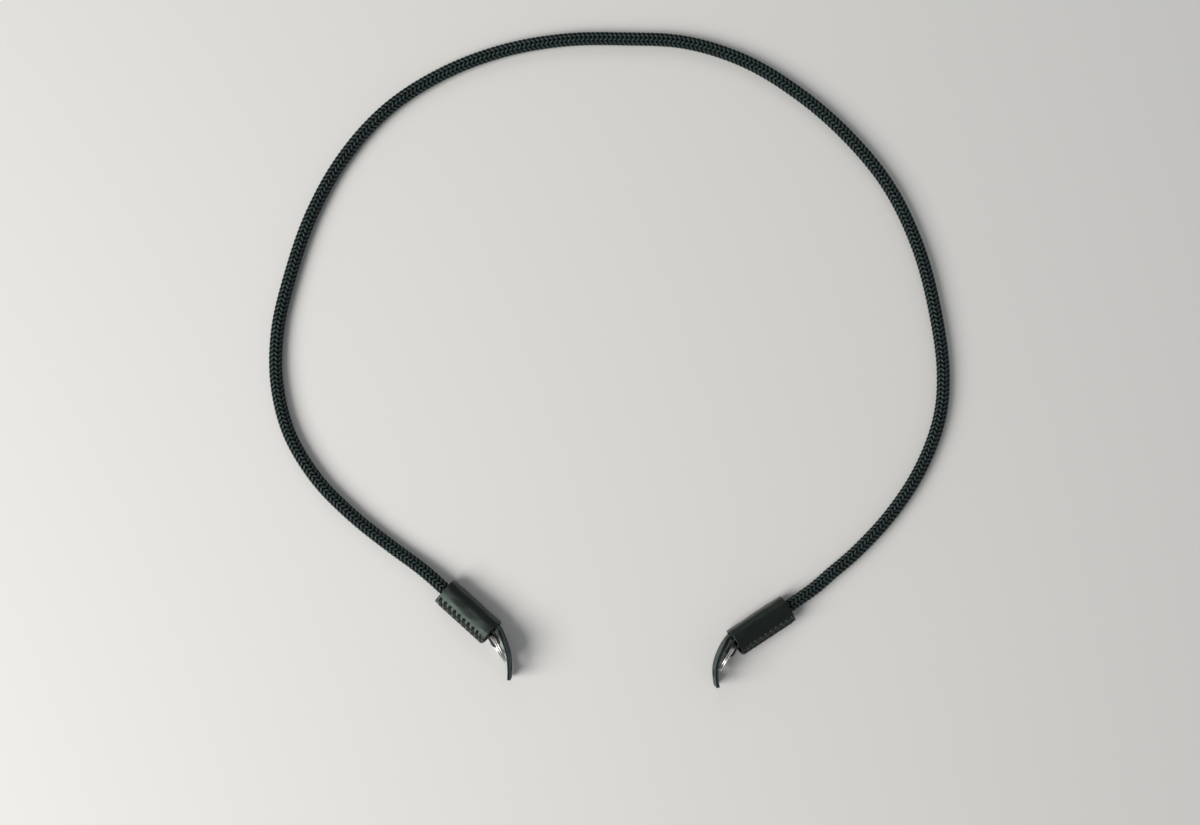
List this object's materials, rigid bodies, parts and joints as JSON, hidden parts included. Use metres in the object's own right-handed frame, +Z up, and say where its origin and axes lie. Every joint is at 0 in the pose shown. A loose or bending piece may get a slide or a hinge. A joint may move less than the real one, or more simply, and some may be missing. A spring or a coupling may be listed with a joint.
{
  "type": "camera neck strap",
  "caption": "Round braided rope camera strap with hand-sewn leather ends, split rings and lug guards, lying in an open loop.",
  "frame": {"origin": "on the surface that the strap lies on, below the middle of the two ends", "axes": "+X towards the right end, +Y from the ends across the loop, +Z up from the surface"},
  "size_m": [0.4332, 0.4164, 0.0206],
  "materials": {
    "rope": "tight diamond braid with a dull sheen",
    "leather": "smooth black leather, slightly glossy",
    "tab_webbing": "dense woven strip, dull",
    "ring_steel": "bright plated steel"
  },
  "bodies": {
    "root": {"rope": "rope", "sleeve_left": "leather", "sleeve_right": "leather", "ring_tab_left": "tab_webbing", "ring_tab_right": "tab_webbing", "split_ring_left": "ring_steel", "split_ring_right": "ring_steel", "guard_left": "leather", "guard_right": "leather"}
  },
  "joints": []
}
